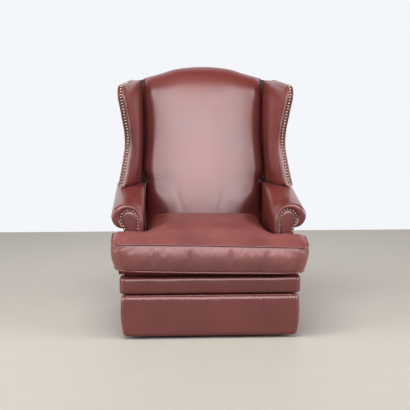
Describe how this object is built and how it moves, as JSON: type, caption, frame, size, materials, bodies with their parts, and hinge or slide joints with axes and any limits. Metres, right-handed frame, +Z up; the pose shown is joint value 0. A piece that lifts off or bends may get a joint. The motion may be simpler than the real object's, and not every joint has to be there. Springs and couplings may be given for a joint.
{
  "type": "wingback recliner chair",
  "caption": "Leather wingback chair with a camel back, rolled arms and a loose T cushion; the winged back reclines as one and a footrest folds out below the seat band.",
  "frame": {"origin": "on the floor under the middle of the chair's box", "axes": "+X to the right seen from the front, +Y to the rear, +Z up; the chair faces -Y"},
  "size_m": [0.82, 0.8801, 1.1362],
  "materials": {
    "oxblood_leather": "semi-gloss leather over foam",
    "frame_hardwood": "planed, unfinished",
    "linkage_steel": "black enamel",
    "spring_steel": "oiled wire",
    "deck_cloth": "plain decking cloth",
    "elastic_webbing": "woven elastic",
    "glide_plastic": "moulded"
  },
  "bodies": {
    "base": {"side_board_left": "frame_hardwood", "side_board_right": "frame_hardwood", "arm_front_post_left": "frame_hardwood", "arm_front_post_right": "frame_hardwood", "arm_rear_post_left": "frame_hardwood", "arm_rear_post_right": "frame_hardwood", "arm_top_rail_left": "frame_hardwood", "arm_top_rail_right": "frame_hardwood", "arm_pad_left": "oxblood_leather", "arm_pad_right": "oxblood_leather", "arm_facing_left": "oxblood_leather", "arm_facing_right": "oxblood_leather", "outside_arm_left": "oxblood_leather", "outside_arm_right": "oxblood_leather", "linkage_plate_left": "linkage_steel", "linkage_plate_right": "linkage_steel", "recline_bracket_left": "linkage_steel", "recline_bracket_right": "linkage_steel", "front_rail": "frame_hardwood", "seat_rear_rail": "frame_hardwood", "lower_rear_rail": "frame_hardwood", "corner_blocks": "frame_hardwood", "rear_panel": "oxblood_leather", "floor_glides": "glide_plastic", "seat_springs": "spring_steel", "seat_deck": "deck_cloth", "front_band": "oxblood_leather"},
    "reclining_back": {"back_post_left": "frame_hardwood", "back_post_right": "frame_hardwood", "hinge_plate_left": "linkage_steel", "hinge_plate_right": "linkage_steel", "wing_frame_left": "frame_hardwood", "wing_frame_right": "frame_hardwood", "wing_pad_left": "oxblood_leather", "wing_pad_right": "oxblood_leather", "outside_wing_left": "oxblood_leather", "outside_wing_right": "oxblood_leather", "back_bottom_rail": "frame_hardwood", "back_mid_rail": "frame_hardwood", "crest_rail": "frame_hardwood", "back_webbing": "elastic_webbing", "back_pad": "oxblood_leather", "outside_back": "oxblood_leather"},
    "loose_cushion": {"seat_cushion": "oxblood_leather", "cushion_lower_welt": "oxblood_leather", "cushion_upper_welt": "oxblood_leather"},
    "drive_links": {"drive_link_left": "linkage_steel", "drive_link_right": "linkage_steel", "torque_tube": "linkage_steel"},
    "rocker_links": {"rocker_link_left": "linkage_steel", "rocker_link_right": "linkage_steel"},
    "reach_links": {"reach_link_left": "linkage_steel", "reach_link_right": "linkage_steel"},
    "control_links": {"control_link_left": "linkage_steel", "control_link_right": "linkage_steel"},
    "footrest": {"footrest_board": "frame_hardwood", "footrest_pad": "oxblood_leather", "footrest_welt": "oxblood_leather", "footrest_bracket_left": "linkage_steel", "footrest_bracket_right": "linkage_steel"}
  },
  "joints": [
    {"name": "back_recline", "type": "hinge", "parent": "base", "child": "reclining_back", "pos_m": [0, 0.205, 0.235], "axis": [-1, 0, 0], "range_deg": [0, 35]},
    {"name": "cushion_lift", "type": "slide", "parent": "base", "child": "loose_cushion", "axis": [0, 0, 1], "range_m": [0, 0.25]},
    {"name": "footrest_drive", "type": "hinge", "parent": "base", "child": "drive_links", "pos_m": [0, -0.217, 0.227], "axis": [-1, 0, 0], "range_deg": [0, 95.2]},
    {"name": "rocker_swing", "type": "hinge", "parent": "base", "child": "rocker_links", "pos_m": [0, -0.177, 0.225], "axis": [-1, 0, 0], "range_deg": [0, 96.1]},
    {"name": "reach_fold", "type": "hinge", "parent": "drive_links", "child": "reach_links", "pos_m": [0, -0.115, 0.051], "axis": [-1, 0, 0], "range_deg": [-83.7, 0]},
    {"name": "control_fold", "type": "hinge", "parent": "drive_links", "child": "control_links", "pos_m": [0, -0.081, 0.075], "axis": [-1, 0, 0], "range_deg": [-84.5, 0]},
    {"name": "footrest_turn", "type": "hinge", "parent": "reach_links", "child": "footrest", "pos_m": [0, -0.343, 0.16], "axis": [-1, 0, 0], "range_deg": [0, 78.5]}
  ],
  "couplings": [
    {"joint": "rocker_swing", "follows": "footrest_drive", "ratio": 1.0083},
    {"joint": "reach_fold", "follows": "footrest_drive", "ratio": -0.87819},
    {"joint": "control_fold", "follows": "footrest_drive", "ratio": -0.88629},
    {"joint": "footrest_turn", "follows": "footrest_drive", "ratio": 0.82339}
  ]
}
